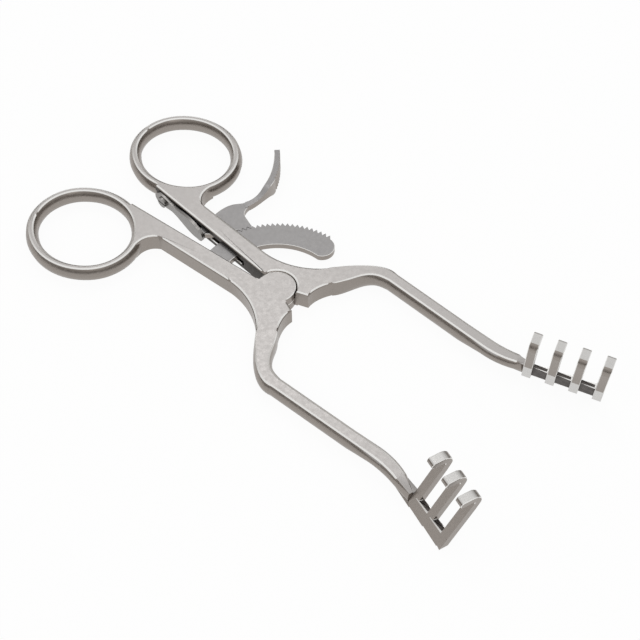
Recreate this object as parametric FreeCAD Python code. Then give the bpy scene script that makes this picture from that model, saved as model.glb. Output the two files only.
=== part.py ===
import FreeCAD, Part
import math
import os

# Self retaining retractor: two ringed halves on a half-lapped pivot, with a ratchet between them.
# Millimetres. X runs from the finger rings to the prongs, Z is up through the thickness.
# The origin is on the pivot axis, in the plane that the instrument rests on.
# The three-prong half lies at negative Y and the four-prong half at positive Y.

# Plate and pivot
PLATE = 5.0              # thickness of the shanks and the hub
DISC_R = 4.85            # half-thickness disc of the lap joint
DISC_GAP = 0.2           # radial gap between a disc and the recess around it
LAP_GAP = 0.06           # gap between the two discs' faces
STOP_ANGLE = 20.5        # angle of each stop face from the X axis
STOP_R = 8.4             # outer corner of the stop face
RIVET_R = 1.25
RIVET_HEAD_R = 1.95
RIVET_HEAD_DEEP = 0.7
RUNNING_GAP = 0.05       # radial clearance of a turning fit

# Shank
SHANK_INNER_Y = 1.0      # inner edge at the hub
SHANK_INNER_RISE = 3.35  # how much further out the inner edge lies at the ring
SHANK_OUTER_Y = 6.35     # outer edge near the hub
SHANK_OUTER_RISE = 1.5   # how much further out the outer edge lies at the ring
SHANK_ROOT_X = 9.5       # where the straight outer edge starts, behind the pivot
SHANK_EDGE = 0.35        # small chamfer along the shank's edges
CROTCH_R = 2.6           # fillet between the shank and its ring
HUB_CURVE_R = 20.0       # hollow outer edge from the shank up into the arm
ARM_ROOT_ANGLE = 55.0    # heading of the arm where it leaves the hub

# Finger ring
RING_X = -49.8
RING_Y = 18.1
RING_A = 14.2            # half length of the ring's centre line
RING_B = 12.8            # half width of the ring's centre line
RING_FLAT = 1.0          # flat on top of the ring
RING_BULGE = 1.1         # how far each side of the bar bulges past the flat
RING_DEEP = 4.4          # height of the bar
RING_STEPS = 4           # straight steps that each bulging side is made of

# Arm: the bar between the hub and the blade
ARM_X = 33.6             # a point in the middle of the long straight run
ARM_Y = 20.85
ARM_RUN_ANGLE = -1.7     # heading of the straight run
ARM_BEND_R = 9.0         # bend from the hub into the straight run
BLADE_BEND_R = 24.0      # bend from the straight run into the blade
ARM_FLAT = 2.5           # flat on top of the bar
ARM_ROOT_EXTRA = 0.6     # how much wider the bar is where it leaves the hub
ARM_BULGE = 0.95
ARM_STEPS = 6            # straight steps that each bulging side is made of
ARM_DEEP = 4.1           # height of the bar in its straight run
ARM_WAIST_X = 42.0       # the bar gets less deep from here to the blade
ARM_END_RISE = 1.1       # how far its low side has risen at the blade
ARM_END_FLAT = 1.5       # the bar is thinner where it runs into the blade
ARM_END_BULGE = 0.55

# Blade with its prongs
BLADE_X = 59.6           # centre of the first prong of the four, at its foot
BLADE_Y = 23.5
BLADE_Z = 0.6            # height of the blade's lower edge
BLADE_ANGLE = 18.5       # outward heading of the blade
PITCH_THREE = 5.5        # pitch of the three prongs
PITCH_FOUR = 5.72        # pitch of the four prongs
PRONG_W = 2.15
PRONG_T = 1.85
WEB_T = 1.3              # bar that joins the prongs
WEB_THREE = 3.1          # height of the bar on the three-prong half
WEB_FOUR = 4.2
RISE_THREE = 14.0        # height of the stem's end over the blade's lower edge
RISE_FOUR = 13.2
STEM_ANGLE_THREE = 27.5  # inward lean of the three prongs
STEM_ANGLE_FOUR = 12.5
SWEEP_ANGLE_THREE = 2.2  # lean of the prongs along the blade, away from the pivot
SWEEP_ANGLE_FOUR = 3.0
HOOK_ANGLE_THREE = 1.0   # upward slope of the hooked tips
HOOK_ANGLE_FOUR = 27.0
HOOK_THREE = 2.4         # straight length of the hooks
HOOK_FOUR = 1.7
HOOK_BEND_R = 0.5

# Ratchet rack
RACK_T = 1.6
RACK_IN_R = 15.3
RACK_TIP_R = 22.5
TOOTH_DEEP = 0.95
TOOTH_STEP_ANGLE = 10.0 / 3.0
TOOTH_FIRST_ANGLE = 95.4
TOOTH_COUNT = 22
TOOTH_STEEP_ANGLE = 1.2  # degrees taken by the flank that holds
TOOTH_TIP_ANGLE = 0.15   # degrees taken by the tooth's narrow tip
RACK_FREE_ANGLE = 86.0   # angle of the rack's rounded free end
RACK_NOSE = 0.42         # how far the free end is rounded, as a share of its width
RACK_FIXED_ANGLE = 195.5 # angle of the end that is held in the shank
RACK_PIN_R = 0.6
RACK_PIN_SHARES = (0.3, 0.77)  # place across the rack's width
RACK_PIN_BACK = (6.0, 3.7)  # degrees in from the held end

# Slot through the four-prong half's shank
SLOT_GAP = 0.15          # clearance above and below the rack and the lever
SLOT_FAR_X = -31.4
SLOT_NEAR_X = -12.6

# Release lever
LEVER_PIN_X = -25.2
LEVER_PIN_Y = 5.0
LEVER_PIN_R = 0.75
LEVER_BOSS_R = 1.9
PAWL_TEETH = 3
PAWL_FIRST_ANGLE = 152.0 # the first of the rack's gaps that the pawl fills lies past this angle
PAWL_GAP = 0.10
TAIL_GAP = 0.12          # gap between the lever's tail and the spring
TAB_DEEP = 4.8
TAB_T = 1.7
NECK_W = 1.7
TAB_NECK_X = -25.45
TAB_NECK_Y = 16.2
TAB_LOW_X = -24.6
TAB_LOW_Y = 20.6
TAB_MID_X = -26.5
TAB_MID_Y = 27.6
TAB_TIP_X = -32.2
TAB_TIP_Y = 35.1
SERRATIONS = 10
SERRATION_PITCH = 1.05
SERRATION_DEEP = 0.45

# Leaf spring and its screw
SPRING_T = 0.8
SPRING_DEEP = 4.5        # height of the leaf at its widest
SPRING_PAD_DEEP = 3.5
SPRING_NECK_DEEP = 2.5
SPRING_PAD_X = -46.2
SPRING_BEND_X = -39.8
SPRING_TIP_X = -26.2
SPRING_LIFT = 1.25       # how far the free end stands off the shank
SCREW_X = -42.9
SCREW_R = 0.8
SCREW_LONG = 3.0
SCREW_HEAD_R = 1.5
SCREW_HEAD_T = 0.7
SCREW_SLOT_W = 0.4

MID_Z = PLATE / 2
RECESS_R = DISC_R + DISC_GAP
RACK_LOW_Z = MID_Z - RACK_T / 2
RACK_ROOT_R = RACK_TIP_R - TOOTH_DEEP
Z_AXIS = FreeCAD.Vector(0, 0, 1)
ORIGIN = FreeCAD.Vector(0, 0, 0)


def vec(x, y, z=0.0):
    return FreeCAD.Vector(x, y, z)


def polar(r, degrees, z=0.0):
    a = math.radians(degrees)
    return vec(r * math.cos(a), r * math.sin(a), z)


def line(a, b):
    return Part.makeLine(a, b)


def arc(a, b, c):
    return Part.Arc(a, b, c).toShape()


def curve(points, start=None, end=None):
    spline = Part.BSplineCurve()
    if start is None:
        spline.interpolate(points)
    else:
        spline.interpolate(points, InitialTangent=start, FinalTangent=end)
    return spline.toShape()


def heading(degrees):
    return polar(1.0, degrees)


def slab(edges, low, high):
    """Upright solid between two heights, from a closed outline drawn at height zero."""
    face = Part.Face(Part.Wire(edges))
    face.translate(vec(0, 0, low))
    return face.extrude(vec(0, 0, high - low))


def rod(radius, low, high, x=0.0, y=0.0):
    return Part.makeCylinder(radius, high - low, vec(x, y, low))


def box(x0, x1, y0, y1, z0, z1):
    return Part.makeBox(x1 - x0, y1 - y0, z1 - z0, vec(x0, y0, z0))


def bar_section(centre, direction, flat, bulge, low, high, steps):
    """Section of a bar, upright across its direction: flat top and bottom, sides that bulge in steps."""
    side = vec(-direction.y, direction.x)
    side.normalize()
    base = vec(centre.x, centre.y)
    left = side * (flat / 2)
    swell = side * (flat / 2 + bulge)
    bottom = vec(0, 0, low)
    middle = vec(0, 0, (low + high) / 2)
    top = vec(0, 0, high)
    right_side = arc(base - left + top, base - swell + middle, base - left + bottom)
    left_side = arc(base + left + bottom, base + swell + middle, base + left + top)
    points = right_side.discretize(steps + 1) + left_side.discretize(steps + 1)
    return Part.makePolygon(points + points[:1])


def shank_inner_y(x):
    """Inner edge of the shank, a straight line from the hub to the ring."""
    return SHANK_INNER_Y + SHANK_INNER_RISE * (-x - RECESS_R) / (-RING_X - RECESS_R)


def shank_outer_y(x):
    """Outer edge of the shank, a straight line from the hub to the ring."""
    return SHANK_OUTER_Y + SHANK_OUTER_RISE * (-x - SHANK_ROOT_X) / (-RING_X - RING_A - SHANK_ROOT_X)


def hub_curve_point(slope):
    """Point of the hollow edge between the shank and the arm, where it has this slope."""
    a = math.radians(slope)
    return vec(-SHANK_ROOT_X + HUB_CURVE_R * math.sin(a), SHANK_OUTER_Y + HUB_CURVE_R * (1 - math.cos(a)))


def shank_plate():
    """Hub and shank as one plate, drawn for the half at positive Y."""
    stop_in = polar(RECESS_R, STOP_ANGLE)
    stop_out = polar(STOP_R, STOP_ANGLE)
    arm_out = hub_curve_point(ARM_ROOT_ANGLE)
    arm_in = arm_out + heading(ARM_ROOT_ANGLE - 90) * (ARM_FLAT + 2 * ARM_BULGE + ARM_ROOT_EXTRA)
    inner_start = vec(-math.sqrt(RECESS_R ** 2 - SHANK_INNER_Y ** 2), SHANK_INNER_Y)
    ring_foot = vec(RING_X + 3.0, shank_inner_y(RING_X + 3.0))
    crotch_x = RING_X + RING_A
    crotch_shank = vec(crotch_x + CROTCH_R, shank_outer_y(crotch_x + CROTCH_R))
    crotch_ring = vec(crotch_x, RING_Y - RING_B / 3)
    crotch_mid = vec(crotch_x + CROTCH_R * 0.32, crotch_shank.y + CROTCH_R * 0.55)
    hub_low = polar(RECESS_R, 90)
    edges = [
        line(stop_in, stop_out),
        curve([stop_out, arm_in], heading(100) * 4, heading(ARM_ROOT_ANGLE) * 4),
        line(arm_in, arm_out),
        arc(arm_out, hub_curve_point(ARM_ROOT_ANGLE / 2), hub_curve_point(0)),
        line(hub_curve_point(0), crotch_shank),
        curve([crotch_shank, crotch_mid, crotch_ring]),
        line(crotch_ring, vec(RING_X, RING_Y - RING_B / 3)),
        line(vec(RING_X, RING_Y - RING_B / 3), ring_foot),
        line(ring_foot, inner_start),
        arc(inner_start, hub_low, stop_in),
    ]
    plate = slab(edges, 0, PLATE)
    plate = plate.makeChamfer(SHANK_EDGE, [e for e in plate.Edges if is_level(e)])
    return plate.cut(ring_opening())


def is_level(edge):
    """True for the edges round a plate's top and bottom faces."""
    return edge.BoundBox.ZLength < 1e-6


def ring_arcs():
    """The four quarter arcs of the ring's oval, as centre, radius and start angle."""
    share = (1 - math.sin(math.radians(45))) / math.cos(math.radians(45))
    end_r = (RING_B - RING_A * share) / (1 - share)
    side_r = RING_B + RING_A - end_r
    end_x = RING_A - end_r
    side_y = side_r - RING_B
    return (
        (vec(RING_X + end_x, RING_Y), end_r, -45),
        (vec(RING_X, RING_Y - side_y), side_r, 45),
        (vec(RING_X - end_x, RING_Y), end_r, 135),
        (vec(RING_X, RING_Y + side_y), side_r, 225),
    )


def ring_opening():
    """Block that fills the ring's hole up to the flat of the bar."""
    edges = []
    for centre, radius, start in ring_arcs():
        r = radius - RING_FLAT / 2
        edges.append(arc(*[centre + heading(start + turn) * r for turn in (0, 45, 90)]))
    return slab(edges, 0, PLATE)


def finger_ring():
    """Oval bar bent from four arcs, flush with the top of the shank."""
    quarters = []
    for centre, radius, start in ring_arcs():
        section = bar_section(centre + heading(start) * radius, heading(start + 90),
                              RING_FLAT, RING_BULGE, PLATE - RING_DEEP, PLATE, RING_STEPS)
        quarters.append(Part.Face(section).revolve(centre, Z_AXIS, 90))
    return quarters[0].fuse(quarters[1:]).removeSplitter()


def corner(p, p_heading, q, q_heading):
    """Point where the line through p meets the line through q."""
    u = heading(p_heading)
    v = heading(q_heading)
    gap = q - p
    return p + u * ((gap.x * v.y - gap.y * v.x) / (u.x * v.y - u.y * v.x))


def arm_section(at, degrees, flat, bulge, low, high):
    return bar_section(at, heading(degrees), flat, bulge, low, high, ARM_STEPS)


def arm(web_height):
    """Bar from the hub to the blade: it narrows round its first bend, runs straight and bends out."""
    root_out = hub_curve_point(ARM_ROOT_ANGLE)
    root = root_out + heading(ARM_ROOT_ANGLE - 90) * (ARM_FLAT + 2 * ARM_BULGE + ARM_ROOT_EXTRA) * 0.5
    end = arm_end()
    straight = vec(ARM_X, ARM_Y)
    first = corner(root, ARM_ROOT_ANGLE, straight, ARM_RUN_ANGLE)
    second = corner(straight, ARM_RUN_ANGLE, end, BLADE_ANGLE)
    first_turn = ARM_ROOT_ANGLE - ARM_RUN_ANGLE
    second_turn = BLADE_ANGLE - ARM_RUN_ANGLE
    bend_start = first - heading(ARM_ROOT_ANGLE) * (ARM_BEND_R * math.tan(math.radians(first_turn / 2)))
    bend_centre = bend_start + heading(ARM_ROOT_ANGLE - 90) * ARM_BEND_R
    run_start = bend_centre + heading(ARM_RUN_ANGLE + 90) * ARM_BEND_R
    run_end = second - heading(ARM_RUN_ANGLE) * (BLADE_BEND_R * math.tan(math.radians(second_turn / 2)))
    out_centre = run_end + heading(ARM_RUN_ANGLE + 90) * BLADE_BEND_R
    out_end = out_centre + heading(BLADE_ANGLE - 90) * BLADE_BEND_R
    top = PLATE
    low = top - ARM_DEEP
    middle = ARM_ROOT_ANGLE - first_turn / 2
    bulge = ARM_BULGE
    root_flat = ARM_FLAT + 2 * ARM_BULGE + ARM_ROOT_EXTRA
    inside = root - heading(ARM_ROOT_ANGLE) * ARM_FLAT
    bend_middle = bend_centre + heading(middle + 90) * ARM_BEND_R
    root_part = Part.makeLoft([
        arm_section(inside, ARM_ROOT_ANGLE, root_flat, bulge * 0.1, low * 0.06, top),
        arm_section(root, ARM_ROOT_ANGLE, root_flat, bulge * 0.15, low * 0.1, top),
        arm_section(bend_start, ARM_ROOT_ANGLE, ARM_FLAT * 1.4, bulge * 0.6, low * 0.4, top),
        arm_section(bend_middle, middle, ARM_FLAT * 1.12, bulge * 0.9, low * 0.8, top),
        arm_section(run_start, ARM_RUN_ANGLE, ARM_FLAT, ARM_BULGE, low, top),
    ], True, False)
    waist = run_start + (run_end - run_start) * ((ARM_WAIST_X - run_start.x) / (run_end.x - run_start.x))
    raised = low + ARM_END_RISE
    run = Part.Face(arm_section(run_start, ARM_RUN_ANGLE, ARM_FLAT, ARM_BULGE, low, top))
    taper = Part.makeLoft([
        arm_section(waist, ARM_RUN_ANGLE, ARM_FLAT, ARM_BULGE, low, top),
        arm_section(run_end, ARM_RUN_ANGLE, ARM_FLAT, ARM_BULGE, raised, top),
    ], True, True)
    bend = Part.Face(arm_section(run_end, ARM_RUN_ANGLE, ARM_FLAT, ARM_BULGE, raised, top))
    end_part = Part.makeLoft([
        arm_section(out_end, BLADE_ANGLE, ARM_FLAT, ARM_BULGE, raised, top),
        arm_section(end, BLADE_ANGLE, ARM_END_FLAT, ARM_END_BULGE, raised / 2, BLADE_Z + web_height),
    ], True, True)
    return root_part.fuse([
        run.extrude(waist - run_start),
        taper,
        bend.revolve(out_centre, Z_AXIS, second_turn),
        end_part,
    ])


def arm_end():
    """Centre of the bar's end, in the web just before the first prong."""
    along = heading(BLADE_ANGLE)
    inward = vec(along.y, -along.x)
    return vec(BLADE_X, BLADE_Y) - along * PRONG_W + inward * (WEB_T / 2 + 0.35)


def strip_outline(lean, thick, top):
    """Side view of a leaning strip, cut off level at a height: x is inward, z is up."""
    shift = math.tan(math.radians(lean)) * top
    foot = thick / math.cos(math.radians(lean))
    return [
        line(vec(0, 0, 0), vec(shift, 0, top)),
        line(vec(shift, 0, top), vec(shift + foot, 0, top)),
        line(vec(shift + foot, 0, top), vec(foot, 0, 0)),
        line(vec(foot, 0, 0), vec(0, 0, 0)),
    ]


def prong_outline(lean, rise, slope, hook):
    """Side view of one prong: leaning stem, bend, and a hook that points outward."""
    a = math.radians(lean)
    b = math.radians(slope)
    up = vec(math.sin(a), 0, math.cos(a))
    out_of_stem = vec(-math.cos(a), 0, math.sin(a))
    along_hook = vec(-math.cos(b), 0, math.sin(b))
    under_hook = vec(-math.sin(b), 0, -math.cos(b))
    stem_top = up * (rise / math.cos(a))
    centre = stem_top + out_of_stem * HOOK_BEND_R
    mid_way = (out_of_stem + under_hook)
    mid_way.normalize()
    inner_end = centre - under_hook * HOOK_BEND_R
    outer_r = HOOK_BEND_R + PRONG_T
    outer_start = centre - out_of_stem * outer_r
    outer_end = centre - under_hook * outer_r
    tip_under = inner_end + along_hook * hook
    tip_over = outer_end + along_hook * hook
    tip = (tip_under + tip_over) * 0.5 + along_hook * (PRONG_T * 0.4)
    foot = vec(PRONG_T / math.cos(a), 0, 0)
    return [
        line(ORIGIN, stem_top),
        arc(stem_top, centre - mid_way * HOOK_BEND_R, inner_end),
        line(inner_end, tip_under),
        arc(tip_under, tip, tip_over),
        line(tip_over, outer_end),
        arc(outer_end, centre - mid_way * outer_r, outer_start),
        line(outer_start, foot),
        line(foot, ORIGIN),
    ]


def one_prong(lean, rise, slope, hook):
    """Bent strip with the corners of its tip rounded."""
    side_view = Part.Face(Part.Wire(prong_outline(lean, rise, slope, hook)))
    side_view.translate(vec(0, -PRONG_W / 2))
    strip = side_view.extrude(vec(0, PRONG_W, 0))
    tip_x = strip.BoundBox.XMin
    corner_x = tip_x + PRONG_W * 0.3
    inner_x = strip.BoundBox.XMax + PRONG_T
    side = PRONG_W / 2
    plan = slab([
        line(vec(inner_x, -side), vec(corner_x, -side)),
        arc(vec(corner_x, -side), vec(tip_x, 0), vec(corner_x, side)),
        line(vec(corner_x, side), vec(inner_x, side)),
        line(vec(inner_x, side), vec(inner_x, -side)),
    ], -PRONG_T, strip.BoundBox.ZMax + PRONG_T)
    return strip.common(plan)


def blade(count, first, pitch, web_height, lean, rise, sweep, slope, hook):
    """Web with its prongs, drawn for the half at positive Y and turned to the blade's heading."""
    reach = 2 * BLADE_X
    web_start = -PRONG_W * 1.5
    web_end = (first + count - 1) * pitch + PRONG_W / 2
    web = Part.Face(Part.Wire(strip_outline(lean, WEB_T, web_height)))
    web.translate(vec(0, web_start, 0))
    solid = web.extrude(vec(0, web_end - web_start, 0))
    for i in range(count):
        prong = one_prong(lean, rise, slope, hook)
        prong.rotate(ORIGIN, vec(1, 0, 0), -sweep)
        prong.translate(vec(0, (first + i) * pitch))
        solid = solid.fuse(prong)
    solid = solid.common(box(-reach, reach, -reach, reach, 0, reach))
    # local x is inward and local y runs along the blade
    solid.rotate(ORIGIN, Z_AXIS, BLADE_ANGLE - 90)
    solid.translate(vec(BLADE_X, BLADE_Y, BLADE_Z))
    return solid.removeSplitter()


def half(web_height, pronged_blade):
    """Ring, shank, hub, arm and blade in one piece, drawn at positive Y."""
    solid = shank_plate()
    for piece in (finger_ring(), arm(web_height), pronged_blade):
        solid = solid.fuse(piece)
    return solid


def to_negative_y(shape):
    return shape.mirror(ORIGIN, vec(0, 1, 0))


def lap(solid, disc_low, recess_low):
    """Add a half-thickness disc to one face of the hub and sink the other half's recess."""
    half_deep = MID_Z - LAP_GAP / 2
    recess = rod(RECESS_R, 0, MID_Z + LAP_GAP / 2)
    recess.translate(vec(0, 0, recess_low))
    disc = rod(DISC_R, 0, half_deep)
    disc.translate(vec(0, 0, disc_low))
    bridge = disc_bridge(half_deep)
    bridge.translate(vec(0, 0, disc_low))
    return solid.cut(recess).fuse(disc).fuse(bridge)


def disc_bridge(height):
    """Sector that joins the disc to the plate, past the plate's chamfered edge."""
    reach = RECESS_R + SHANK_EDGE * 1.5
    back_angle = 180 - math.degrees(math.asin(SHANK_INNER_Y / RECESS_R)) - 1
    return slab([
        line(ORIGIN, polar(reach, STOP_ANGLE)),
        arc(polar(reach, STOP_ANGLE), polar(reach, 90), polar(reach, back_angle)),
        line(polar(reach, back_angle), ORIGIN),
    ], 0, height)


def tooth_angles():
    return [TOOTH_FIRST_ANGLE + i * TOOTH_STEP_ANGLE for i in range(TOOTH_COUNT)]


def rack_plate():
    """Curved toothed strip, with a rounded free end and a held end inside the shank."""
    low = vec(0, 0, RACK_LOW_Z)
    edges = []
    start = polar(RACK_ROOT_R, TOOTH_FIRST_ANGLE - TOOTH_STEP_ANGLE / 2)
    at = start
    for angle in tooth_angles():
        base = polar(RACK_ROOT_R, angle - (TOOTH_STEP_ANGLE - TOOTH_STEEP_ANGLE - TOOTH_TIP_ANGLE))
        tip_low = polar(RACK_TIP_R, angle)
        tip_high = polar(RACK_TIP_R, angle + TOOTH_TIP_ANGLE)
        foot = polar(RACK_ROOT_R, angle + TOOTH_TIP_ANGLE + TOOTH_STEEP_ANGLE)
        if (base - at).Length > 1e-4:
            edges.append(line(at, base))
        edges += [line(base, tip_low), line(tip_low, tip_high), line(tip_high, foot)]
        at = foot
    held_out = polar(RACK_ROOT_R, RACK_FIXED_ANGLE)
    held_in = polar(RACK_IN_R, RACK_FIXED_ANGLE)
    free_in = polar(RACK_IN_R, RACK_FREE_ANGLE + 4)
    middle = (RACK_FIXED_ANGLE + RACK_FREE_ANGLE) / 2
    plain = (TOOTH_FIRST_ANGLE + TOOTH_COUNT * TOOTH_STEP_ANGLE + RACK_FIXED_ANGLE) / 2
    across = start - free_in
    nose = (start + free_in) * 0.5 + vec(across.y, -across.x) * RACK_NOSE
    edges += [
        arc(at, polar(RACK_ROOT_R, plain), held_out),
        line(held_out, held_in),
        arc(held_in, polar(RACK_IN_R, middle), free_in),
        arc(free_in, nose, start),
    ]
    plate = slab(edges, 0, RACK_T)
    plate.translate(low)
    return plate


def ratchet_rack():
    plate = rack_plate()
    for hole in rack_pins():
        plate = plate.cut(hole)
    return plate


def rack_pins():
    """Two flush pins that hold the rack in the three-prong half's shank."""
    pins = []
    for share, back in zip(RACK_PIN_SHARES, RACK_PIN_BACK):
        at = polar(RACK_IN_R + (RACK_ROOT_R - RACK_IN_R) * share, RACK_FIXED_ANGLE - back)
        pins.append(rod(RACK_PIN_R, 0, PLATE, at.x, at.y))
    return pins


def rack_pocket():
    """Pocket for the rack's held end, open to the shank's inner side."""
    start = 170.0
    middle = (start + RACK_FIXED_ANGLE) / 2
    return slab([
        line(polar(RACK_IN_R, start), polar(RACK_ROOT_R, start)),
        arc(polar(RACK_ROOT_R, start), polar(RACK_ROOT_R, middle), polar(RACK_ROOT_R, RACK_FIXED_ANGLE)),
        line(polar(RACK_ROOT_R, RACK_FIXED_ANGLE), polar(RACK_IN_R, RACK_FIXED_ANGLE)),
        arc(polar(RACK_IN_R, RACK_FIXED_ANGLE), polar(RACK_IN_R, middle), polar(RACK_IN_R, start)),
    ], RACK_LOW_Z, RACK_LOW_Z + RACK_T)


def pawl_outline():
    """The pawl's toothed edge: the rack's own teeth, drawn a small gap further out."""
    r_low = RACK_ROOT_R + PAWL_GAP
    r_high = RACK_TIP_R + PAWL_GAP
    slack = math.degrees(PAWL_GAP * 0.7 / RACK_TIP_R)
    to_root = TOOTH_TIP_ANGLE + TOOTH_STEEP_ANGLE
    first = [a for a in tooth_angles() if a > PAWL_FIRST_ANGLE][0] - TOOTH_STEP_ANGLE
    points = []
    for i in range(PAWL_TEETH):
        angle = first + i * TOOTH_STEP_ANGLE
        points.append(polar(r_high, angle + TOOTH_TIP_ANGLE + slack))
        points.append(polar(r_low + PAWL_GAP / 2, angle + to_root))
        points.append(polar(r_high, angle + TOOTH_STEP_ANGLE - slack))
    return points


def lever_plate():
    """Flat part of the release lever: boss, pawl nose, tail and the neck of the thumb tab."""
    pawl = pawl_outline()
    pin = vec(LEVER_PIN_X, LEVER_PIN_Y)
    neck = vec(TAB_NECK_X, TAB_NECK_Y)
    neck_right = neck + vec(NECK_W / 2, 0)
    neck_left = neck - vec(NECK_W / 2, 0)
    boss_right = pin + heading(-5) * LEVER_BOSS_R
    boss_low = pin + heading(-70) * LEVER_BOSS_R
    tail_in = spring_back(LEVER_PIN_X - LEVER_BOSS_R * 0.63) + vec(0, TAIL_GAP * 2)
    tail_tip = spring_back(LEVER_PIN_X - LEVER_BOSS_R * 1.2) + vec(0, TAIL_GAP)
    tail_out = spring_back(LEVER_PIN_X - LEVER_BOSS_R * 1.8) + vec(0, TAIL_GAP + LEVER_BOSS_R / 2)
    back_rise = TAB_NECK_Y - LEVER_PIN_Y
    heel = pawl[-1] + (boss_right - pawl[-1]) * 0.25 + vec(-LEVER_BOSS_R * 0.12, 0)
    hollow = pawl[0] - neck_right
    edges = [line(pawl[i], pawl[i + 1]) for i in range(len(pawl) - 1)]
    edges += [
        curve([pawl[-1], heel, boss_right], heading(235), heading(265)),
        arc(boss_right, pin + heading(-38) * LEVER_BOSS_R, boss_low),
        line(boss_low, tail_in),
        arc(tail_in, tail_tip, tail_out),
        curve([tail_out, pin + vec(-LEVER_BOSS_R * 2.1, back_rise * 0.36),
               pin + vec(-LEVER_BOSS_R * 1.53, back_rise * 0.79), neck_left], heading(95), heading(60)),
        line(neck_left, neck_right),
        curve([neck_right, neck_right + vec(hollow.x * 0.24, hollow.y * 0.67),
               neck_right + vec(hollow.x * 0.63, hollow.y * 0.85), pawl[0]], heading(-85), heading(-15)),
    ]
    return slab(edges, RACK_LOW_Z, RACK_LOW_Z + RACK_T)


def tab_path():
    path = Part.BSplineCurve()
    path.interpolate([
        vec(TAB_NECK_X, TAB_NECK_Y),
        vec(TAB_LOW_X, TAB_LOW_Y),
        vec(TAB_MID_X, TAB_MID_Y),
        vec(TAB_TIP_X, TAB_TIP_Y),
    ])
    return path


def tab_side(path, share, width):
    """Point beside the tab's centre line, on its right for a positive width."""
    at = path.parameterAtDistance(path.length() * share, path.FirstParameter)
    direction = path.tangent(at)[0]
    return path.value(at) + vec(direction.y, -direction.x) * (width / 2)


def tab_side_view():
    """The tab's height along its length, as a block across it: it rises from the flat neck."""
    flat = RACK_T / 2 + SLOT_GAP / 2
    tall = TAB_DEEP / 2
    start = TAB_NECK_Y - 1.0
    low_start = vec(0, start, -flat)
    low_full = vec(0, TAB_MID_Y - 0.6, -tall)
    low_tip = vec(0, TAB_TIP_Y + 1.0, -tall * 0.94)
    high_tip = vec(0, TAB_TIP_Y + 1.0, tall * 0.94)
    high_full = vec(0, TAB_LOW_Y + 3.4, tall)
    high_start = vec(0, start, flat)
    low_mid = vec(0, (TAB_LOW_Y + low_full.y) / 2, -tall * 0.5)
    low_run = [low_start, vec(0, TAB_LOW_Y, -flat * 0.6), low_mid, low_full]
    high_mid = vec(0, TAB_LOW_Y + 0.8, tall * 0.72)
    high_run = [high_full, high_mid, vec(0, TAB_LOW_Y - 2.4, flat * 1.2), high_start]
    face = Part.Face(Part.Wire([
        curve(low_run, vec(0, 1, 0), vec(0, 1, 0)),
        line(low_full, low_tip),
        line(low_tip, high_tip),
        line(high_tip, high_full),
        curve(high_run, vec(0, -1, 0), vec(0, -1, 0)),
        line(high_start, low_start),
    ]))
    face.translate(vec(TAB_TIP_X - TAB_DEEP, 0, MID_Z))
    return face.extrude(vec(4 * TAB_DEEP, 0, 0))


def thumb_tab():
    """Upright curved strip, widened from the flat neck, with a serrated face on the jaw side."""
    path = tab_path()
    widths = ((0.0, NECK_W), (0.15, NECK_W * 0.85), (0.35, TAB_T), (0.7, TAB_T), (1.0, TAB_T * 0.85))
    right = [tab_side(path, share, width) for share, width in widths]
    left = [tab_side(path, share, -width) for share, width in widths]
    neck_low = vec(0, -0.8)
    strip = slab([
        line(right[0] + neck_low, right[0]),
        curve(right),
        line(right[-1], left[-1]),
        curve(left[::-1]),
        line(left[0], left[0] + neck_low),
        line(left[0] + neck_low, right[0] + neck_low),
    ], MID_Z - TAB_DEEP, MID_Z + TAB_DEEP)
    solid = strip.common(tab_side_view())
    for i in range(SERRATIONS):
        distance = path.length() - SERRATION_PITCH * (i + 0.8)
        at = path.parameterAtDistance(distance, path.FirstParameter)
        direction = path.tangent(at)[0]
        outward = vec(direction.y, -direction.x)
        face = path.value(at) + outward * (TAB_T / 2)
        half_w = direction * (SERRATION_DEEP * 0.8)
        groove = slab([
            line(face - outward * SERRATION_DEEP, face + outward * SERRATION_DEEP + half_w * 2),
            line(face + outward * SERRATION_DEEP + half_w * 2, face + outward * SERRATION_DEEP - half_w * 2),
            line(face + outward * SERRATION_DEEP - half_w * 2, face - outward * SERRATION_DEEP),
        ], -PLATE, PLATE * 2)
        solid = solid.cut(groove)
    return solid


def release_lever():
    lever = lever_plate().fuse(thumb_tab())
    hole = rod(LEVER_PIN_R + RUNNING_GAP, 0, PLATE, LEVER_PIN_X, LEVER_PIN_Y)
    return lever.cut(hole)


def lever_pin():
    return rod(LEVER_PIN_R, 0, PLATE, LEVER_PIN_X, LEVER_PIN_Y)


def shank_slot():
    """Slot through the four-prong half's shank, for the rack and the lever."""
    low = RACK_LOW_Z - SLOT_GAP
    high = RACK_LOW_Z + RACK_T + SLOT_GAP
    return box(SLOT_FAR_X, SLOT_NEAR_X, 0, SHANK_OUTER_Y + SHANK_OUTER_RISE * 2, low, high)


def spring_back(x):
    """Point on the spring's shank side: flat on the shank under the pad, then lifting off it."""
    share = max(0.0, (x - SPRING_BEND_X) / (SPRING_TIP_X - SPRING_BEND_X))
    return vec(x, shank_inner_y(x) - SPRING_LIFT * share)


def leaf_spring():
    """Flat strip screwed to the shank's inner side, whose free end bears on the lever's tail."""
    pad = spring_back(SPRING_PAD_X)
    bend = spring_back(SPRING_BEND_X)
    tip = spring_back(SPRING_TIP_X)
    thick = shank_normal() * -SPRING_T
    strip = slab([
        line(pad, bend),
        line(bend, tip),
        line(tip, tip + thick),
        line(tip + thick, bend + thick),
        line(bend + thick, pad + thick),
        line(pad + thick, pad),
    ], MID_Z - SPRING_DEEP, MID_Z + SPRING_DEEP)
    strip = strip.common(spring_side_view())
    return strip.cut(screw_shaft())


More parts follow.
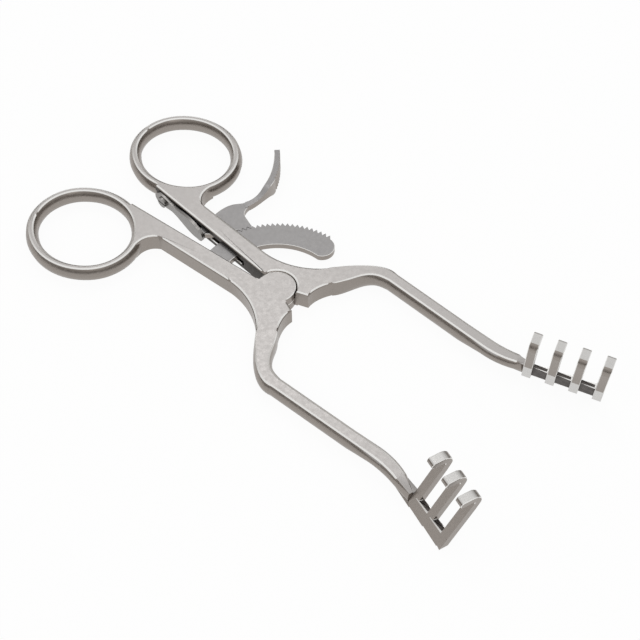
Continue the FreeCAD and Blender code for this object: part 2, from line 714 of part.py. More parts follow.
def spring_side_view():
    """The spring's outline as seen from the side, as a block across it: a pad, a neck and a leaf."""
    pad = SPRING_PAD_DEEP / 2
    leaf = SPRING_DEEP / 2
    long = SPRING_TIP_X - SCREW_X
    profile = (
        (SPRING_PAD_X + pad, pad),
        (SCREW_X, pad),
        (SCREW_X + long * 0.22, SPRING_NECK_DEEP / 2),
        (SCREW_X + long * 0.62, leaf),
        (SPRING_TIP_X - leaf, leaf * 0.86),
    )
    top = [vec(x, 0, MID_Z + half) for x, half in profile]
    bottom = [vec(x, 0, MID_Z - half) for x, half in profile]
    face = Part.Face(Part.Wire([
        curve(top),
        arc(top[-1], vec(SPRING_TIP_X, 0, MID_Z), bottom[-1]),
        curve(bottom[::-1]),
        arc(bottom[0], vec(SPRING_PAD_X, 0, MID_Z), top[0]),
    ]))
    face.translate(vec(0, -PLATE, 0))
    return face.extrude(vec(0, 3 * PLATE, 0))


def shank_normal():
    """Direction into the shank, square to its inner edge."""
    run = vec(-1.0, shank_inner_y(-1.0) - shank_inner_y(0.0))
    run.normalize()
    return vec(run.y, -run.x)


def screw_seat():
    """Point where the screw's axis meets the spring's face."""
    return spring_back(SCREW_X) + vec(0, 0, MID_Z) - shank_normal() * SPRING_T


def screw_shaft():
    return Part.makeCylinder(SCREW_R, SPRING_T + SCREW_LONG, screw_seat(), shank_normal())


def spring_screw():
    """Slotted screw through the spring's pad into the shank."""
    out = shank_normal() * -1
    head = Part.makeCylinder(SCREW_HEAD_R, SCREW_HEAD_T, screw_seat(), out)
    slot = box(-SCREW_HEAD_R, SCREW_HEAD_R, -SCREW_HEAD_T / 2, SCREW_HEAD_T / 2,
               -SCREW_SLOT_W / 2, SCREW_SLOT_W / 2)
    slot.rotate(ORIGIN, Z_AXIS, math.degrees(math.atan2(out.y, out.x)) + 90)
    slot.translate(screw_seat() + out * SCREW_HEAD_T)
    return head.cut(slot).fuse(screw_shaft())


def pivot_rivet(gap=0.0):
    """Flush rivet with a countersunk head at each end."""
    shaft = rod(RIVET_R + gap, 0, PLATE)
    low = Part.makeCone(RIVET_HEAD_R + gap, RIVET_R + gap, RIVET_HEAD_DEEP)
    seat = vec(0, 0, PLATE - RIVET_HEAD_DEEP)
    high = Part.makeCone(RIVET_R + gap, RIVET_HEAD_R + gap, RIVET_HEAD_DEEP, seat)
    return shaft.fuse([low, high])


def three_prong_half():
    """Half at negative Y: it carries the upper disc and the fixed end of the rack."""
    prongs = blade(3, 0.5, PITCH_THREE, WEB_THREE, STEM_ANGLE_THREE, RISE_THREE,
                   SWEEP_ANGLE_THREE, HOOK_ANGLE_THREE, HOOK_THREE)
    solid = to_negative_y(half(WEB_THREE, prongs))
    solid = to_negative_y(lap(to_negative_y(solid), MID_Z + LAP_GAP / 2, 0))
    solid = solid.cut(pivot_rivet())
    solid = solid.cut(rack_pocket())
    for pin in rack_pins():
        solid = solid.cut(pin)
    return solid


def four_prong_half():
    """Half at positive Y: it carries the lower disc, the lever and the spring."""
    prongs = blade(4, 0.0, PITCH_FOUR, WEB_FOUR, STEM_ANGLE_FOUR, RISE_FOUR,
                   SWEEP_ANGLE_FOUR, HOOK_ANGLE_FOUR, HOOK_FOUR)
    solid = lap(half(WEB_FOUR, prongs), 0, MID_Z - LAP_GAP / 2)
    solid = solid.cut(pivot_rivet(RUNNING_GAP))
    solid = solid.cut(shank_slot())
    solid = solid.cut(lever_pin())
    return solid.cut(screw_shaft())


def main():
    os.makedirs("parts", exist_ok=True)
    pins = rack_pins()
    nodes = {
        "three_prong_half": three_prong_half(),
        "four_prong_half": four_prong_half(),
        "pivot_rivet": pivot_rivet(),
        "ratchet_rack": ratchet_rack(),
        "rack_pin_front": pins[0],
        "rack_pin_rear": pins[1],
        "release_lever": release_lever(),
        "lever_pin": lever_pin(),
        "leaf_spring": leaf_spring(),
        "spring_screw": spring_screw(),
    }
    for name, shape in nodes.items():
        shape.exportStep("parts/" + name + ".step")


main()
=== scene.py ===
import math

import bmesh
import bpy
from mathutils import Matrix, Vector


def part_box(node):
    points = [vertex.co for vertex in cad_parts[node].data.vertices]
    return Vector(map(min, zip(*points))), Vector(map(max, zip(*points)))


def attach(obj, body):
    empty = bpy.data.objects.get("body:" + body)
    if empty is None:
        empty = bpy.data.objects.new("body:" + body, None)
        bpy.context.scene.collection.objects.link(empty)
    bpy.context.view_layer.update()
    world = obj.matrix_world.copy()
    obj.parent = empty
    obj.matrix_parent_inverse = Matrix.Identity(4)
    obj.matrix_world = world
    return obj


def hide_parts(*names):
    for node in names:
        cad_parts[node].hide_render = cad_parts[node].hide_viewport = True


bl_info = {
    "name": "Self retaining retractor",
    "version": (1, 0, 0),
    "blender": (4, 5, 0),
    "location": "View3D > Sidebar > Retractor",
    "description": "Finishes the steel of a ring-handled surgical spreader and sets its studio",
    "category": "Object",
}

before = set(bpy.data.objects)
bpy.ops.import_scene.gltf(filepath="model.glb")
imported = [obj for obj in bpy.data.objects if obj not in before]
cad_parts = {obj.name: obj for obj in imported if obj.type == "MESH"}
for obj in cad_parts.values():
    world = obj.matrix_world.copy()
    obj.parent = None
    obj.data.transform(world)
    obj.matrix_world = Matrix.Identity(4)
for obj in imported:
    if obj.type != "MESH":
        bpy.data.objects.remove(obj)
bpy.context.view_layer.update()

MM = 0.001
WELD = 0.002 * MM               # corners nearer than this are one corner
PLACES = 7                      # decimals of a metre that tell places apart
FLAT_ANGLE = math.radians(0.6)  # faces that turn less than this are one flat face
SHARP_ANGLE = math.radians(35)  # edges that turn more than this are sharp

# How far a face's direction agrees with up, or with a side
UP_SHARE = 0.97    # this upright, it is a top or an underside
TOP_SHARE = 0.8    # a slope this upright is finished as a top
LEVEL = 0.9995     # this upright, it is one of the plates' flats
FACING = 0.5       # a face looks to a side from here up

# Broken rims round the plates' flats
FLAT_AREA = 4.0 * MM * MM     # a flat at least this large gets a rim
RIM_SLOPE = 0.42              # how far a rim falls, per width
SHORT = 1.2 * MM              # an edge this short stays sharp where the outline turns
MAX_TURN = math.radians(25)   # a smaller turn of the outline than this is part of a curve
GRAZING = math.radians(45)    # a cut across a flat runs close beside an edge below this
CUT_REACH = 1.0 * MM          # how much of the edge stays sharp there
FLAT_PART_SHARE = 0.5         # rim of the rack and the lever, per edge width
PRONG_SHARE = 0.6             # bevel of the prongs, per edge width
BEVEL_STEPS = 2
FLAT_WEIGHT = 100             # a large face keeps its own direction up to its edges

# Material slots of a dressed steel piece
FACE = 0
SIDE = 1
EDGE = 2
RECESS = 3
SLOT_SHADE = 4
PRONG_HIGHLIGHT = 5

# Fasteners ground flush: their rims keep no broken edge
FLUSH = ("rack_pin_front", "rack_pin_rear", "lever_pin", "pivot_rivet")
RIM_REACH = 0.3 * MM

# Side of the instrument's axis that each half's blade lies on
THREE_PRONG = -1
FOUR_PRONG = 1

# Shank of the four-prong half that carries the spring and the lever: the stretch of its
# inner side that is painted dark as shade, and the slot's levels
SLOT_SHADE_X = (-44.0 * MM, -5.0 * MM)
SLOT_Z = (0.6 * MM, 4.4 * MM)
SHANK_Y = 9.0 * MM

# Web between the prongs: foot of its outer face, heading, thickness, height and lean
BLADE_FOOT = Vector((59.6, 23.5, 0.6)) * MM
BLADE_HEADING = math.radians(18.5)
WEB_DEEP = 1.62 * MM
WEB_TOP = 4.9 * MM
WEB_SLOPE = 0.5

# Arm's last stretch. Places are along the blade, from the foot of its first prong: where the
# arm narrows, where its bend ends, its own end, and the first prong's side
ARM_NARROWS = -11.0 * MM
ARM_STRAIGHTENS = -2.913 * MM
ARM_END = -2.15 * MM
PRONG_SIDE = {THREE_PRONG: 1.65 * MM, FOUR_PRONG: -1.1 * MM}
ARM_BEND_R = 24.0 * MM
ARM_HALF = 2.5 * MM
ARM_END_IN = 0.97 * MM      # the arm's middle, inward from the foot
ARM_END_NARROW = {THREE_PRONG: 0.6, FOUR_PRONG: 0.74}  # share of the arm's width at its end
ARM_END_MIDDLE = 3.0 * MM   # the end's corners above this level are lifted
ARM_END_LIFT = {THREE_PRONG: 0.7 * MM, FOUR_PRONG: 0.0}

# Prongs. All but the first line is for the four-prong half, whose feet are thickened
STEM_Z = 5.2 * MM           # the prongs stand free of the web from here up
STEM_LEAN = math.radians(12.5)
STEM_INNER = 1.7 * MM       # inner faces lie further in than this, their lean left out
PRONG_HALF = 1.15 * MM
FOOT_TOP = 5.7 * MM
NECK_TOP = 7.4 * MM
FOOT_PROUD = 0.35 * MM

# Satin grain: noise scales per metre, and depth of the relief
FINE_GRAIN = 2600.0
COARSE_GRAIN = 1100.0
RECESS_GRAIN = 900.0
GRAIN_DEPTH = 0.02 * MM

# Studio that the steel mirrors: colour by height, from the horizon to overhead
STUDIO_LOOK = (
    (0.0, (0.05, 0.045, 0.04)),
    (0.10, (0.10, 0.09, 0.08)),
    (0.25, (0.50, 0.48, 0.46)),
    (0.65, (0.9, 0.9, 0.9)),
    (1.0, (0.95, 0.95, 0.95)),
)
FLOOR_COLOUR = (0.93, 0.93, 0.92, 1.0)
WHITE = (1.0, 1.0, 1.0, 1.0)
FLOOR_Z = -0.05 * MM
CENTRE = (0.0, 0.0, 0.0)
# Name, place, size in metres and power in watts
LAMPS = (
    ("key lamp", (-0.35, 0.30, 0.75), 0.25, 0.5),
    ("fill lamp", (0.55, -0.45, 0.55), 0.3, 0.25),
)
SENSOR_WIDTH = 36.0
NEAREST = 0.01


def colour_setting(name, text, value):
    return bpy.props.FloatVectorProperty(
        name=name, description=text, subtype="COLOR", size=3, min=0.0, max=1.0, default=value
    )


def place_setting(name, text, value):
    return bpy.props.FloatVectorProperty(
        name=name, description=text, subtype="TRANSLATION", unit="LENGTH", size=3, default=value
    )


class RetractorSteel(bpy.types.PropertyGroup):
    """Colours of the steel's finishes, with their painted shade and highlights, width of its broken
    edges and depth of its grain
    """

    face_colour: colour_setting(
        "Face colour", "Satin tops and undersides", (0.43, 0.412, 0.40))
    # Darker than the face colour: painted shade on the sides, over their ground finish
    shaded_side_colour: colour_setting(
        "Side colour", "Ground sides of the shanks and arms, darkened as painted shade", (0.31, 0.28, 0.255))
    # Far lighter than the face colour: a painted highlight on the polished rims
    edge_highlight_colour: colour_setting(
        "Edge colour", "Polished broken edges, brightened as painted highlight", (0.80, 0.79, 0.77))
    recess_colour: colour_setting(
        "Recess colour", "Darkened web between the prongs", (0.10, 0.09, 0.085))
    rack_colour: colour_setting(
        "Rack colour", "Flats of the rack and the lever", (0.31, 0.302, 0.30))
    # Near black: painted shade in the slot and on the shank's inner side
    slot_shade_colour: colour_setting(
        "Slot shade colour", "Steel in the slot, painted dark as shade", (0.055, 0.048, 0.043))
    # Lighter than the face colour: a painted highlight on the prongs' feet and hook tops
    prong_highlight_colour: colour_setting(
        "Prong highlight colour", "Hooks and feet of the prongs, painted bright as a highlight", (0.60, 0.59, 0.575))
    spring_colour: colour_setting(
        "Spring colour", "Spring and screw", (0.27, 0.26, 0.25))
    edge_width: bpy.props.FloatProperty(
        name="Broken edge", description="Width of the bevel along sharp edges", unit="LENGTH",
        min=0.0, max=0.0005, default=0.00025, precision=5
    )
    grain: bpy.props.FloatProperty(
        name="Grain", description="Depth of the satin grain", min=0.0, max=1.0, default=0.35
    )


class RetractorStage(bpy.types.PropertyGroup):
    """Camera and floor of the studio"""

    camera_place: place_setting(
        "Camera", "Where the camera stands", (0.14695, -0.14913, 0.2568))
    camera_target: place_setting(
        "Target", "Point in the middle of the view", (0.01498, -0.00071, 0.005))
    lens: bpy.props.FloatProperty(
        name="Lens", description="Focal length in millimetres", min=10.0, max=300.0, default=75.17
    )
    floor_size: bpy.props.FloatProperty(
        name="Floor", description="Side of the floor", unit="LENGTH", min=0.5, max=20.0, default=6.0
    )
    floor_white: bpy.props.FloatProperty(
        name="Floor white", description="Share of the floor's look that no shadow reaches",
        subtype="FACTOR", min=0.0, max=1.0, default=0.94
    )


def placed(name, data):
    """New object of the scene, at the origin."""
    made = bpy.data.objects.new(name, data)
    bpy.context.scene.collection.objects.link(made)
    return made


def add_node(tree, kind, values=(), operation=None):
    """New node of a tree, with the values of its unlinked sockets."""
    made = tree.nodes.new(kind)
    if operation:
        made.operation = operation
    for socket, value in values:
        made.inputs[socket].default_value = value
    return made


def grain_group():
    """Node group: fine mottled satin grain, as a brightness, a roughness and a height."""
    tree = bpy.data.node_groups.new("satin grain", "ShaderNodeTree")
    sockets = tree.interface
    sockets.new_socket(name="Vector", in_out="INPUT", socket_type="NodeSocketVector")
    for name, value in (
        ("Fine scale", FINE_GRAIN), ("Coarse scale", COARSE_GRAIN), ("Colour depth", 0.1)
    ):
        socket = sockets.new_socket(name=name, in_out="INPUT", socket_type="NodeSocketFloat")
        socket.default_value = value
    for name in ("Tone", "Rough", "Height"):
        sockets.new_socket(name=name, in_out="OUTPUT", socket_type="NodeSocketFloat")
    link = tree.links.new
    entry = add_node(tree, "NodeGroupInput")
    leave = add_node(tree, "NodeGroupOutput")
    fine = add_node(tree, "ShaderNodeTexNoise", [("Detail", 3.0)])
    coarse = add_node(tree, "ShaderNodeTexNoise", [("Detail", 4.0), ("Roughness", 0.6)])
    for noise, scale in ((fine, "Fine scale"), (coarse, "Coarse scale")):
        link(entry.outputs["Vector"], noise.inputs["Vector"])
        link(entry.outputs[scale], noise.inputs["Scale"])
    both = add_node(tree, "ShaderNodeMix", [("Factor", 0.5)])
    link(fine.outputs["Fac"], both.inputs["A"])
    link(coarse.outputs["Fac"], both.inputs["B"])
    # the tone swings about 1, the roughness runs from 0 to 1 over the noise's usual range
    swing = add_node(tree, "ShaderNodeMath", [(1, 0.5)], "SUBTRACT")
    link(both.outputs["Result"], swing.inputs[0])
    tone = add_node(tree, "ShaderNodeMath", [(2, 1.0)], "MULTIPLY_ADD")
    link(swing.outputs["Value"], tone.inputs[0])
    link(entry.outputs["Colour depth"], tone.inputs[1])
    rough = add_node(tree, "ShaderNodeMapRange", [("From Min", 0.3), ("From Max", 0.7)])
    link(coarse.outputs["Fac"], rough.inputs["Value"])
    link(tone.outputs["Value"], leave.inputs["Tone"])
    link(rough.outputs["Result"], leave.inputs["Rough"])
    link(fine.outputs["Fac"], leave.inputs["Height"])
    return tree


def shared_grain():
    return bpy.data.node_groups.get("satin grain") or grain_group()


def steel(name, colour, rough, grain, tone_depth=0.25, fine=FINE_GRAIN, bump=0.3):
    """Steel with a satin grain. Rough is a pair: smoothest and roughest."""
    made = bpy.data.materials.get(name)
    if made:
        return made
    made = bpy.data.materials.new(name)
    made.use_nodes = True
    tree = made.node_tree
    link = tree.links.new
    shader = tree.nodes["Principled BSDF"]
    shader.inputs["Metallic"].default_value = 1.0
    place = add_node(tree, "ShaderNodeTexCoord")
    satin = add_node(tree, "ShaderNodeGroup")
    satin.node_tree = shared_grain()
    satin.inputs["Fine scale"].default_value = fine
    satin.inputs["Colour depth"].default_value = tone_depth
    link(place.outputs["Object"], satin.inputs["Vector"])
    paint = add_node(tree, "ShaderNodeVectorMath", [(0, colour)], "SCALE")
    link(satin.outputs["Tone"], paint.inputs["Scale"])
    link(paint.outputs["Vector"], shader.inputs["Base Color"])
    polish = add_node(tree, "ShaderNodeMapRange", [("To Min", rough[0]), ("To Max", rough[1])])
    link(satin.outputs["Rough"], polish.inputs["Value"])
    link(polish.outputs["Result"], shader.inputs["Roughness"])
    relief = add_node(
        tree, "ShaderNodeBump", [("Strength", bump * grain), ("Distance", GRAIN_DEPTH)])
    link(satin.outputs["Height"], relief.inputs["Height"])
    link(relief.outputs["Normal"], shader.inputs["Normal"])
    return made


def steel_set(settings):
    """The six finishes of the forged steel, some with painted shade or highlight, in the order of
    the slots.
    """
    grain = settings.grain
    return [
        steel("satin steel face", settings.face_colour, (0.34, 0.46), grain),
        # Ground sides, darker than the faces as painted shade
        steel("ground steel side with painted shade", settings.shaded_side_colour, (0.26, 0.38), grain, tone_depth=0.35),
        # Polished rims, lightened as painted highlight
        steel("polished steel edge with painted highlight", settings.edge_highlight_colour, (0.20, 0.28), grain, tone_depth=0.1),
        steel("dark steel recess", settings.recess_colour, (0.35, 0.6), 1.0,
              tone_depth=2.4, fine=RECESS_GRAIN, bump=1.0),
        # Painted shade for the slot and the shank's inner side
        steel("slot steel painted in shade", settings.slot_shade_colour, (0.35, 0.5), 1.0, tone_depth=1.0),
        # Painted highlight for the prongs' feet and hook tops
        steel("prong steel with painted highlight", settings.prong_highlight_colour, (0.24, 0.34), grain, tone_depth=0.2),
    ]


def rack_set(settings):
    """The finishes of the flat parts, whose faces are duller than the halves'."""
    plain = steel("dull steel face", settings.rack_colour, (0.40, 0.50), settings.grain)
    return [plain, *steel_set(settings)[SIDE:]]


def merged(node):
    """The CAD node's triangles as one closed mesh with whole flat faces."""
    mesh = bmesh.new()
    mesh.from_mesh(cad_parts[node].data)
    bmesh.ops.remove_doubles(mesh, verts=mesh.verts, dist=WELD)
    bmesh.ops.dissolve_degenerate(mesh, edges=mesh.edges, dist=WELD)
    bmesh.ops.dissolve_limit(
        mesh, angle_limit=FLAT_ANGLE, use_dissolve_boundaries=False, verts=mesh.verts,
        edges=mesh.edges, delimit=set()
    )
    return mesh


def sharp_edges(mesh):
    return [
        edge for edge in mesh.edges
        if len(edge.link_faces) == 2 and edge.calc_face_angle(0.0) > SHARP_ANGLE
    ]


def flush_rims():
    """Axis and reach of each fastener that is ground flush."""
    rims = []
    for node in FLUSH:
        low, high = (Vector(corner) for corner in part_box(node))
        rims.append(((low + high).xy / 2, (high.x - low.x) / 2 + RIM_REACH))
    return rims


def broken_edges(mesh):
    """Sharp edges, without the rims of the flush fasteners."""
    rims = flush_rims()
    return [
        edge for edge in sharp_edges(mesh)
        if not any(
            all((vert.co.xy - axis).length < reach for vert in edge.verts)
            for axis, reach in rims
        )
    ]


def turn(vert, edge, other):
    """Angle between two edges at the corner where they meet."""
    return (edge.other_vert(vert).co - vert.co).angle(other.other_vert(vert).co - vert.co)


def clear_of_cuts(edge, flats):
    """Shorten an outline edge at an end where a cut across the flat runs close beside it."""
    for vert in list(edge.verts):
        cuts = [cut for cut in vert.link_edges if len(flats.intersection(cut.link_faces)) == 2]
        if any(turn(vert, edge, cut) < GRAZING for cut in cuts):
            if edge.calc_length() < 2 * CUT_REACH:
                return False
            bmesh.utils.edge_split(edge, vert, CUT_REACH / edge.calc_length())
    return True


def slope_rims(mesh, up, width):
    """Break the outline of the flats that face up or down: a narrow rim that falls away, painted
    bright as a highlight.
    """
    flats = {
        face for face in mesh.faces
        if face.normal.z * up > LEVEL and face.calc_area() > FLAT_AREA
    }
    outline = [
        edge for edge in broken_edges(mesh)
        if len(flats.intersection(edge.link_faces)) == 1
    ]
    at = {}
    for edge in outline:
        for vert in edge.verts:
            at.setdefault(vert, []).append(edge)
    cornered = {
        edge for edge in outline
        if edge.calc_length() < SHORT and any(
            turn(vert, edge, other) < math.pi - MAX_TURN
            for vert in edge.verts for other in at[vert] if other != edge
        )
    }
    level = {round(vert.co.z, PLACES) for edge in outline for vert in edge.verts}
    rim = bmesh.ops.bevel(
        mesh,
        geom=[edge for edge in outline if edge not in cornered and clear_of_cuts(edge, flats)],
        offset=width, offset_type="OFFSET", segments=1, profile=0.5, affect="EDGES",
        clamp_overlap=False, material=-1, loop_slide=True
    )["faces"]
    lower = set()
    for face in rim:
        # The rim takes the edge colour: a painted highlight along the broken edge
        face.material_index = EDGE
        lower.update(
            vert for vert in face.verts
            if any(abs(vert.co.z + up * width - z) < WELD for z in level)
        )
    fall = up * width * (1 - RIM_SLOPE)
    bmesh.ops.translate(mesh, verts=list(lower), vec=(0.0, 0.0, fall))


def blade_axes(hand):
    """Foot of the first prong, and the blade's directions: along it and inward."""
    along = Vector((math.cos(BLADE_HEADING), hand * math.sin(BLADE_HEADING), 0.0))
    inward = Vector((math.sin(BLADE_HEADING), -hand * math.cos(BLADE_HEADING), 0.0))
    return Vector((BLADE_FOOT.x, hand * BLADE_FOOT.y, BLADE_FOOT.z)), along, inward


def carry_arm_on(mesh, hand):
    """Narrow the arm's last stretch and draw its end out to the first prong."""
    foot, along, inward = blade_axes(hand)
    reach = PRONG_SIDE[hand] - ARM_STRAIGHTENS
    narrowing = 1 - ARM_END_NARROW[hand]
    for vert in mesh.verts:
        at = (vert.co - foot).dot(along)
        back = max(ARM_STRAIGHTENS - at, 0.0)
        if not ARM_NARROWS < at < ARM_END + WELD or vert.co.z > STEM_Z:
            continue
        middle = ARM_END_IN - (ARM_BEND_R - math.sqrt(ARM_BEND_R ** 2 - back ** 2))
        across = (vert.co - foot).dot(inward) - middle
        if abs(across) > ARM_HALF:
            continue
        drawn = max(at - ARM_STRAIGHTENS, 0.0) / (ARM_END - ARM_STRAIGHTENS)
        drawn_at = at if back else ARM_STRAIGHTENS + drawn * reach
        share = (drawn_at - ARM_NARROWS) / (PRONG_SIDE[hand] - ARM_NARROWS)
        vert.co += along * (drawn_at - at) - inward * across * narrowing * share ** 2
        if vert.co.z > ARM_END_MIDDLE:
            vert.co.z += ARM_END_LIFT[hand] * drawn
    mesh.normal_update()


def thicken_feet(mesh):
    """Give each of the four prongs a thicker foot, with a neck that slopes back to the stem."""
    foot, along, inward = blade_axes(FOUR_PRONG)
    blade_end = [
        face for face in mesh.faces
        if (face.calc_center_median() - foot).dot(along) > -PRONG_HALF
    ]
    for level in (FOOT_TOP, NECK_TOP):
        geom = [g for face in blade_end if face.is_valid for g in (face, *face.edges, *face.verts)]
        cut = bmesh.ops.bisect_plane(
            mesh, geom=list(dict.fromkeys(geom)), dist=WELD,
            plane_co=(0.0, 0.0, level), plane_no=(0.0, 0.0, 1.0)
        )
        blade_end += [g for g in cut["geom"] if isinstance(g, bmesh.types.BMFace)]
    for vert in mesh.verts:
        away = vert.co - foot
        deep = away.dot(inward) - away.z * math.tan(STEM_LEAN)
        on_foot = away.dot(along) > -PRONG_HALF and vert.co.z < FOOT_TOP + WELD
        if on_foot and deep > STEM_INNER:
            vert.co += inward * FOOT_PROUD
    mesh.normal_update()


def break_prongs(mesh, width):
    """Bevel the prongs above the web, the bevel painted bright as a highlight."""
    stems = [edge for edge in sharp_edges(mesh) if min(v.co.z for v in edge.verts) > STEM_Z]
    broken = bmesh.ops.bevel(
        mesh, geom=stems, offset=width, offset_type="OFFSET", segments=BEVEL_STEPS,
        profile=0.5, affect="EDGES", clamp_overlap=False, material=-1, loop_slide=True
    )
    # The bevel takes the edge colour: a painted highlight
    for face in broken["faces"]:
        face.material_index = EDGE


def in_slot(centre):
    """Whether a point lies in the stretch of the four-prong shank that is painted dark as shade."""
    return (
        SLOT_Z[0] < centre.z < SLOT_Z[1]
        and SLOT_SHADE_X[0] < centre.x < SLOT_SHADE_X[1]
        and centre.y < SHANK_Y
    )


def sort_faces(mesh, hand):
    """Give each face its slot: top or underside, side, web, hook, prong's foot, shank's slot."""
    foot, along, inward = blade_axes(hand)
    for face in mesh.faces:
        up = face.normal.z
        # Tops and undersides take the face colour; the rest take the darker side colour, a painted
        # shade
        face.material_index = FACE if up > TOP_SHARE or up < -UP_SHARE else SIDE
        if not hand:
            continue
        centre = face.calc_center_median()
        away = centre - foot
        at, deep = away.dot(along), away.dot(inward)
        looks_in = face.normal.dot(inward) > FACING
        on_web = at > 0 and centre.z < WEB_TOP and deep < WEB_DEEP + away.z * WEB_SLOPE
        if on_web and (looks_in or up > UP_SHARE):
            face.material_index = RECESS
        # Inner faces of the four prongs: painted highlight on the feet, and the darker side colour
        # on the necks as painted shade
        if hand == FOUR_PRONG and at > -PRONG_HALF and looks_in:
            if deep - away.z * math.tan(STEM_LEAN) > STEM_INNER:
                face.material_index = SIDE if centre.z > FOOT_TOP else PRONG_HIGHLIGHT
        # Hook tops: painted highlight
        if centre.z > STEM_Z and up > TOP_SHARE:
            face.material_index = PRONG_HIGHLIGHT
        # Painted shade: the slot's faces and the shank's inner side there are painted near black
        if hand == FOUR_PRONG and in_slot(centre):
            if abs(up) > UP_SHARE or face.normal.y < -FACING:
                face.material_index = SLOT_SHADE


def place_of(vert):
    """Where a corner lies, as a key to sort by."""
    return [round(part, PLACES) for part in vert.co]


def corners_of(part):
    """An edge's or a face's corners, as a key to sort by."""
    return sorted(vert.index for vert in part.verts)


def set_in_order(mesh):
    """Sort a mesh by place, because the order that a bevel leaves changes from run to run."""
    for parts, key in (
        (mesh.verts, place_of), (mesh.edges, corners_of), (mesh.faces, corners_of)
    ):
        rank = {part: at for at, part in enumerate(sorted(parts, key=key))}
        parts.sort(key=rank.get)
        parts.index_update()


def finished(mesh, name, body, materials):
    """Object from a mesh, smooth over its curves, on its body and with its materials."""
    set_in_order(mesh)
    for face in mesh.faces:
        face.smooth = True
    for edge in mesh.edges:
        slots = {face.material_index for face in edge.link_faces}
        on_rim = EDGE in slots and len(slots) > 1
        edge.smooth = not on_rim and edge.calc_face_angle(0.0) < SHARP_ANGLE
    data = bpy.data.meshes.new(name)
    mesh.to_mesh(data)
    mesh.free()
    piece = placed(name, data)
    for material in materials:
        data.materials.append(material)
    weigh = piece.modifiers.new("flat faces", "WEIGHTED_NORMAL")
    weigh.mode = "FACE_AREA"
    weigh.weight = FLAT_WEIGHT
    weigh.keep_sharp = True
    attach(piece, body)
    return piece


def dressed(node, body, materials, width=0.0, hand=0):
    """A CAD node as one finished steel piece. Hand is 0 for a piece without a blade."""
    mesh = merged(node)
    if hand:
        carry_arm_on(mesh, hand)
    if hand == FOUR_PRONG:
        thicken_feet(mesh)
    sort_faces(mesh, hand)
    if width:
        slope_rims(mesh, 1, width)
        slope_rims(mesh, -1, width)
    if hand:
        break_prongs(mesh, width * PRONG_SHARE)
    piece = finished(mesh, node + "_steel", body, materials)
    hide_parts(node)
    return piece


class RETRACTOR_OT_halves(bpy.types.Operator):
    """Finish the two ringed halves: satin faces, ground sides darkened as painted shade, polished
    edges and the prongs' hooks and feet with painted highlights
    """

    bl_idname = "retractor.halves"
    bl_label = "Halves"

    def execute(self, context):
        settings = context.scene.retractor_steel
        finishes = steel_set(settings)
        for node, body, hand in (
            ("three_prong_half", "three_prong_body", THREE_PRONG),
            ("four_prong_half", "four_prong_body", FOUR_PRONG),
        ):
            dressed(node, body, finishes, settings.edge_width, hand)
        return {"FINISHED"}


class RETRACTOR_OT_ratchet(bpy.types.Operator):
    """Finish the rack, the release lever and their pins"""

    bl_idname = "retractor.ratchet"
    bl_label = "Ratchet"

    def execute(self, context):
        settings = context.scene.retractor_steel
        dull, bright = rack_set(settings), steel_set(settings)
        width = settings.edge_width * FLAT_PART_SHARE
        for node, body in (
            ("ratchet_rack", "three_prong_body"),
            ("release_lever", "lever_body"),
        ):
            dressed(node, body, dull, width)
        for node, body in (
            ("rack_pin_front", "three_prong_body"),
            ("rack_pin_rear", "three_prong_body"),
            ("lever_pin", "four_prong_body"),
            ("pivot_rivet", "three_prong_body"),
        ):
            dressed(node, body, bright)
        return {"FINISHED"}


class RETRACTOR_OT_spring(bpy.types.Operator):
    """Finish the leaf spring and its screw"""

    bl_idname = "retractor.spring"
    bl_label = "Spring"

    def execute(self, context):
        settings = context.scene.retractor_steel
        plain = steel("spring steel", settings.spring_colour, (0.28, 0.4), settings.grain)
        finishes = [plain, plain, steel_set(settings)[EDGE]]
        for node in ("leaf_spring", "spring_screw"):
            dressed(node, "four_prong_body", finishes)
        return {"FINISHED"}


def ray_sum(tree, rays):
    """Socket that is 1 for the rays of the kinds named, and 0 for the others."""
    path = add_node(tree, "ShaderNodeLightPath")
    total = path.outputs[rays[0]]
    for ray in rays[1:]:
        both = add_node(tree, "ShaderNodeMath", operation="ADD")
        both.use_clamp = True
        tree.links.new(total, both.inputs[0])
        tree.links.new(path.outputs[ray], both.inputs[1])
        total = both.outputs["Value"]
    return total


def studio_world():
    """World that the steel mirrors: bright overhead, dark low down, and white to the camera."""
    world = bpy.data.worlds.new("studio")
    bpy.context.scene.world = world
    world.use_nodes = True
    tree = world.node_tree
    tree.nodes.clear()
    link = tree.links.new
    place = add_node(tree, "ShaderNodeTexCoord")
    split = add_node(tree, "ShaderNodeSeparateXYZ")
    link(place.outputs["Generated"], split.inputs["Vector"])
    ramp = add_node(tree, "ShaderNodeValToRGB")
    stops = ramp.color_ramp.elements
    for height, colour in STUDIO_LOOK:
        stop = next((s for s in stops if s.position == height), None) or stops.new(height)
        stop.color = (*colour, 1.0)
    link(split.outputs["Z"], ramp.inputs["Fac"])
    mirrored = add_node(tree, "ShaderNodeBackground")
    link(ramp.outputs["Color"], mirrored.inputs["Color"])
    white = add_node(tree, "ShaderNodeBackground", [("Color", WHITE)])
    mix = add_node(tree, "ShaderNodeMixShader")
    link(ray_sum(tree, ("Is Camera Ray", "Is Transmission Ray")), mix.inputs["Fac"])
    link(mirrored.outputs["Background"], mix.inputs[1])
    link(white.outputs["Background"], mix.inputs[2])
    out = add_node(tree, "ShaderNodeOutputWorld")
    link(mix.outputs["Shader"], out.inputs["Surface"])


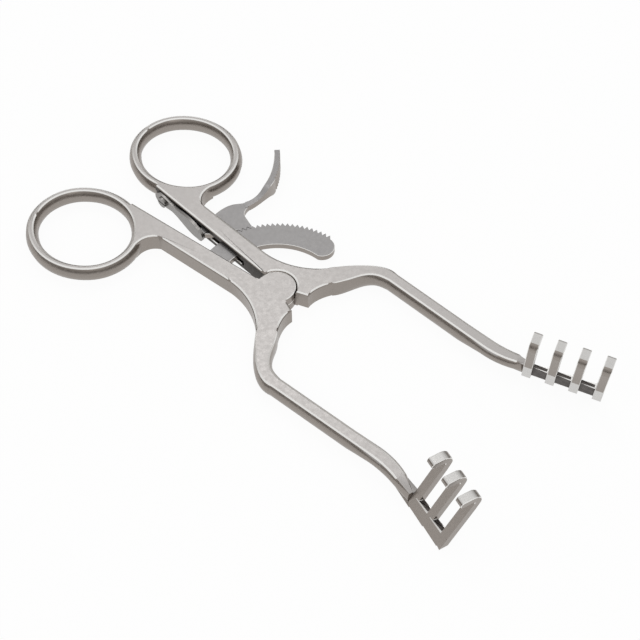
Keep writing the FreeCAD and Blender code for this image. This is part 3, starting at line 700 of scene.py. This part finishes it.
def floor_material(share):
    """White floor that keeps a soft shadow."""
    made = bpy.data.materials.new("studio floor")
    made.use_nodes = True
    tree = made.node_tree
    tree.nodes.clear()
    link = tree.links.new
    matt = add_node(tree, "ShaderNodeBsdfDiffuse", [("Color", FLOOR_COLOUR)])
    white = add_node(tree, "ShaderNodeEmission", [("Color", WHITE)])
    part = add_node(tree, "ShaderNodeMath", [(1, share)], "MULTIPLY")
    rays = ("Is Camera Ray", "Is Glossy Ray", "Is Transmission Ray")
    link(ray_sum(tree, rays), part.inputs[0])
    mix = add_node(tree, "ShaderNodeMixShader")
    link(part.outputs["Value"], mix.inputs["Fac"])
    link(matt.outputs["BSDF"], mix.inputs[1])
    link(white.outputs["Emission"], mix.inputs[2])
    out = add_node(tree, "ShaderNodeOutputMaterial")
    link(mix.outputs["Shader"], out.inputs["Surface"])
    return made


def aim(holder, place, target):
    """Set a lamp or the camera at its place and turn it to its target."""
    holder.location = place
    gaze = Vector(target) - Vector(place)
    holder.rotation_euler = gaze.to_track_quat("-Z", "Y").to_euler()


def lamp(name, place, size, power):
    """Soft square lamp that shines on the pivot."""
    light = bpy.data.lights.new(name, "AREA")
    light.size = size
    light.energy = power
    aim(placed(name, light), place, CENTRE)


class RETRACTOR_OT_stage(bpy.types.Operator):
    """Set the floor, the studio light and the camera"""

    bl_idname = "retractor.stage"
    bl_label = "Stage"

    def execute(self, context):
        settings = context.scene.retractor_stage
        mesh = bmesh.new()
        bmesh.ops.create_grid(mesh, x_segments=1, y_segments=1, size=settings.floor_size / 2)
        bmesh.ops.translate(mesh, verts=mesh.verts, vec=(0.0, 0.0, FLOOR_Z))
        data = bpy.data.meshes.new("floor")
        mesh.to_mesh(data)
        mesh.free()
        data.materials.append(floor_material(settings.floor_white))
        placed("floor", data)
        studio_world()
        for name, place, size, power in LAMPS:
            lamp(name, place, size, power)
        camera = placed("camera", bpy.data.cameras.new("camera"))
        camera.data.lens = settings.lens
        camera.data.sensor_width = SENSOR_WIDTH
        camera.data.clip_start = NEAREST
        aim(camera, settings.camera_place, settings.camera_target)
        context.scene.camera = camera
        context.scene.view_settings.view_transform = "Standard"
        return {"FINISHED"}


class RETRACTOR_PT_panel(bpy.types.Panel):
    """Settings and steps of the retractor"""

    bl_idname = "RETRACTOR_PT_panel"
    bl_label = "Retractor"
    bl_space_type = "VIEW_3D"
    bl_region_type = "UI"
    bl_category = "Retractor"

    def draw(self, context):
        for settings in (context.scene.retractor_steel, context.scene.retractor_stage):
            for name in settings.__annotations__:
                self.layout.prop(settings, name)
        for operator in OPERATORS:
            self.layout.operator(operator.bl_idname)


OPERATORS = (RETRACTOR_OT_halves, RETRACTOR_OT_ratchet, RETRACTOR_OT_spring, RETRACTOR_OT_stage)
CLASSES = (RetractorSteel, RetractorStage, *OPERATORS, RETRACTOR_PT_panel)


def register():
    for kind in CLASSES:
        bpy.utils.register_class(kind)
    bpy.types.Scene.retractor_steel = bpy.props.PointerProperty(type=RetractorSteel)
    bpy.types.Scene.retractor_stage = bpy.props.PointerProperty(type=RetractorStage)


def unregister():
    del bpy.types.Scene.retractor_stage
    del bpy.types.Scene.retractor_steel
    for kind in reversed(CLASSES):
        bpy.utils.unregister_class(kind)


def main():
    register()
    bpy.ops.retractor.halves()
    bpy.ops.retractor.ratchet()
    bpy.ops.retractor.spring()
    bpy.ops.retractor.stage()


if __name__ == "__main__":
    main()
